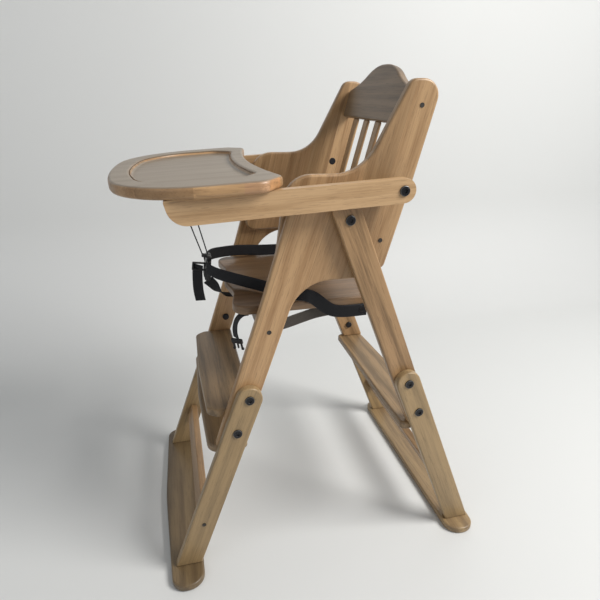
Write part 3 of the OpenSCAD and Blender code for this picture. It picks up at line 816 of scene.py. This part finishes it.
class CHAIR_OT_buckle(bpy.types.Operator):
    """Buckle of the harness and the loose male clip"""
    bl_idname = "chair.buckle"
    bl_label = "Buckle and clip"

    def execute(self, context):
        plastic = moulded("buckle plastic", tuple(trim_set(context).plastic), rough=0.36)
        tilt = Matrix.Rotation(math.radians(-8), 3, "X")
        centre = Vector((-0.030, Y0 - 0.254, SEAT_Z + 0.040))
        bm = bmesh.new()

        def part(offset, size, radius=0.0016):
            bevelled_box(bm, centre + tilt @ Vector(offset), size, tilt, radius)

        part((0, 0, -0.0125), (0.048, 0.0125, 0.029), 0.004)
        part((0, 0, 0.0135), (0.034, 0.0105, 0.024), 0.003)
        for side in (-1, 1):
            part((side * 0.0225, 0, 0.009), (0.0085, 0.0085, 0.017), 0.003)
            part((side * 0.0135, -0.0068, -0.012), (0.0022, 0.0012, 0.018), 0.0005)
            for k in range(4):
                part((side * 0.0262, 0, 0.0035 + k * 0.0034), (0.0014, 0.0064, 0.0014), 0.0004)
        for k in range(3):
            part((0, -0.0066, -0.0215 + k * 0.005), (0.021, 0.0012, 0.0016), 0.0005)
        part((0, -0.0056, 0.022), (0.028, 0.0014, 0.0022), 0.0006)
        part((-0.001, -0.0052, 0.0225), (0.011, 0.019, 0.0068), 0.002)
        for height in (0.0035, -0.0115):
            part((-0.006, -0.0185, height), (0.006, 0.027, 0.0036), 0.0014)
        for y in (-0.031, -0.0065):
            part((-0.006, y, -0.004), (0.006, 0.0034, 0.018), 0.0014)
        finish_piece("buckle_moulding", bm, plastic, "buckle", weighted=True)

        bm = bmesh.new()
        turn = Matrix.Rotation(math.radians(60), 3, "Z") @ Matrix.Rotation(math.radians(20), 3, "X")
        centre = middle("clip")

        def limb(offset, size, radius=0.0012):
            bevelled_box(bm, centre + turn @ Vector(offset), size, turn, radius)

        limb((0, 0, 0.009), (0.0235, 0.0055, 0.0115), 0.002)
        limb((0, 0, -0.0045), (0.0035, 0.0035, 0.013), 0.0012)
        for side in (-1, 1):
            limb((side * 0.0078, 0, -0.005), (0.0036, 0.0045, 0.0175), 0.0014)
            limb((side * 0.0088, 0, -0.0115), (0.0056, 0.0045, 0.0055), 0.0018)
        finish_piece("clip_moulding", bm, plastic, "clip", weighted=True)
        return {"FINISHED"}


class CHAIR_OT_cords(bpy.types.Operator):
    """Two thin cords from the underside of the tray to the buckle"""
    bl_idname = "chair.cords"
    bl_label = "Tray cords"

    def execute(self, context):
        t = trim_set(context)
        f = Finish("braided cord", roughness=0.7)
        lay = f.node("ShaderNodeUVMap", {"uv_map": "lay"}, {})
        one_way = (f.along(lay, (4200.0, 0.0, 0.0)) + f.along(lay, (0.0, 12.566, 0.0))).sine() * 0.5 + 0.5
        other_way = (f.along(lay, (4200.0, 0.0, 0.0)) - f.along(lay, (0.0, 12.566, 0.0))).sine() * 0.5 + 0.5
        braid = one_way * other_way
        f.colour(f.mix(braid, scaled(t.strap, 0.6), scaled(t.strap, 2.4)))
        f.roughness(0.85 - braid * 0.2)
        f.bump(braid, 0.0002, 0.8)
        base = SEAT_Z * 1000
        drop = math.tan(ARM_SLOPE)
        pivot = middle("tray_pivot_bolts")
        # the tray's underside at the pivot, 21 mm above it square to the slope
        under = pivot.z * 1000 + 21 / math.cos(ARM_SLOPE)
        pivot_y = 63
        for number, (x, top_y, low_y, end_x, end_y) in enumerate(((-36, -311, -284, -33, -264),
                                                                  (-24, -291, -268, -27, -253))):
            top = under + (top_y - pivot_y) * drop - 0.5
            rows = mm([(x, top_y, top), (x, (top_y * 2 + low_y) / 3, base + 196),
                       (x, low_y, base + 132), (end_x, end_y, base + 67)])
            path = curve_through([Vector(r) for r in rows], 16)
            bm = bmesh.new()
            uv = bm.loops.layers.uv.new("lay")
            rings = []
            length = 0.0
            sides = 12
            for i, point in enumerate(path):
                if i:
                    length += (point - path[i - 1]).length
                along = (path[min(i + 1, len(path) - 1)] - path[max(i - 1, 0)]).normalized()
                a = along.cross(Vector((1, 0.2, 0))).normalized()
                b = along.cross(a)
                rings.append([(bm.verts.new(point + (a * math.cos(k * math.tau / sides)
                                                     + b * math.sin(k * math.tau / sides)) * t.cord / 2),
                               length, k / sides) for k in range(sides)])
            for first, second in zip(rings, rings[1:]):
                for k in range(sides):
                    corners = (first[k], first[(k + 1) % sides], second[(k + 1) % sides], second[k])
                    face = bm.faces.new([q[0] for q in corners])
                    for j, loop in enumerate(face.loops):
                        loop[uv].uv = (corners[j][1], k / sides + (1 / sides if j in (1, 2) else 0))
            bm.faces.new([q[0] for q in rings[0]][::-1])
            bm.faces.new([q[0] for q in rings[-1]])
            cord = finish_piece("tray_cord_%d" % (number + 1), bm, f.material, "tray_cords")
        return {"FINISHED"}


class CHAIR_OT_stage(bpy.types.Operator):
    """Pale floor and backdrop, soft light and the camera"""
    bl_idname = "chair.stage"
    bl_label = "Stage"

    def execute(self, context):
        s = context.scene.high_chair_stage
        f = Finish("pale backdrop", roughness=0.7)
        pos = f.position()
        cloud = f.noise(pos, 1.3, 2.0)
        f.colour(f.mix(cloud * 0.5, tuple(s.floor), scaled(s.floor, 0.94)))
        f.roughness((cloud - 0.5) * 0.1 + 0.65)
        bm = bmesh.new()
        profile = [(FLOOR_NEAR, 0.0), (BEND_START, 0.0)]
        for k in range(1, BEND_FLATS + 1):
            a = math.pi / 2 * k / BEND_FLATS
            profile.append((BEND_START - BEND_RADIUS * math.sin(a), BEND_RADIUS * (1 - math.cos(a))))
        profile.append((BEND_START - BEND_RADIUS, WALL_TOP))
        rows = [[bm.verts.new((x, y, z - FLOOR_GAP)) for x, z in profile]
                for y in (-HALF_WIDTH, HALF_WIDTH)]
        for k in range(len(profile) - 1):
            bm.faces.new((rows[0][k], rows[0][k + 1], rows[1][k + 1], rows[1][k]))
        mesh = bpy.data.meshes.new("backdrop")
        bmesh.ops.recalc_face_normals(bm, faces=bm.faces)
        for face in bm.faces:
            face.smooth = True
        bm.to_mesh(mesh)
        bm.free()
        mesh.materials.append(f.material)
        backdrop = bpy.data.objects.new("backdrop", mesh)
        context.scene.collection.objects.link(backdrop)

        def lamp(name, size, power, place, aim, colour):
            data = bpy.data.lights.new(name, "AREA")
            data.shape = "DISK"
            data.size = size
            data.energy = power
            data.color = colour
            made = bpy.data.objects.new(name, data)
            made.location = place
            made.rotation_euler = (Vector(aim) - Vector(place)).to_track_quat("-Z", "Y").to_euler()
            context.scene.collection.objects.link(made)

        lamp("window light", 1.5, 102.0, (1.3, 1.9, 2.5), (0, 0, 0.55), (1.0, 0.985, 0.96))
        lamp("fill light", 2.2, 7.0, (1.6, -2.2, 1.8), (0, 0, 0.5), (0.95, 0.975, 1.0))
        world = bpy.data.worlds.new("room")
        context.scene.world = world
        world.use_nodes = True
        world.node_tree.nodes["Background"].inputs[0].default_value = (0.93, 0.96, 1.0, 1.0)
        world.node_tree.nodes["Background"].inputs[1].default_value = 0.36
        context.scene.view_settings.view_transform = "Standard"

        data = bpy.data.cameras.new("camera")
        data.lens = s.lens
        data.sensor_width = 36.0
        data.clip_end = 30.0
        camera = bpy.data.objects.new("camera", data)
        camera.location = (1.02764, Y0 - 0.3167, 0.93135)
        camera.rotation_euler = (math.radians(67.74), 0.0, math.radians(75.87))
        context.scene.collection.objects.link(camera)
        context.scene.camera = camera
        return {"FINISHED"}


OPERATORS = (CHAIR_OT_stage, CHAIR_OT_cords, CHAIR_OT_side_panels, CHAIR_OT_front_panels,
             CHAIR_OT_legs, CHAIR_OT_steps, CHAIR_OT_rails, CHAIR_OT_back, CHAIR_OT_seat,
             CHAIR_OT_tray, CHAIR_OT_bolts, CHAIR_OT_fittings, CHAIR_OT_webbing, CHAIR_OT_buckle)
GROUPS = {"high_chair_wood": HighChairWood, "high_chair_trim": HighChairTrim,
          "high_chair_stage": HighChairStage}


class CHAIR_PT_panel(bpy.types.Panel):
    """Lists the steps that finish the chair and its colours"""
    bl_idname = "CHAIR_PT_panel"
    bl_label = "High chair"
    bl_space_type = "VIEW_3D"
    bl_region_type = "UI"
    bl_category = "High chair"

    def draw(self, context):
        for attribute in GROUPS:
            group = getattr(context.scene, attribute)
            for name in group.bl_rna.properties.keys():
                if name not in ("rna_type", "name"):
                    self.layout.prop(group, name)
        for operator in OPERATORS:
            self.layout.operator(operator.bl_idname)


def register():
    for attribute, group in GROUPS.items():
        bpy.utils.register_class(group)
        setattr(bpy.types.Scene, attribute, PointerProperty(type=group))
    for operator in OPERATORS:
        bpy.utils.register_class(operator)
    bpy.utils.register_class(CHAIR_PT_panel)


def unregister():
    bpy.utils.unregister_class(CHAIR_PT_panel)
    for operator in reversed(OPERATORS):
        bpy.utils.unregister_class(operator)
    for attribute, group in GROUPS.items():
        delattr(bpy.types.Scene, attribute)
        bpy.utils.unregister_class(group)


def main():
    register()
    for operator in OPERATORS:
        area, name = operator.bl_idname.split(".")
        result = getattr(getattr(bpy.ops, area), name)()
        if result != {"FINISHED"}:
            raise RuntimeError("step did not finish: " + operator.bl_label)


if __name__ == "__main__":
    main()
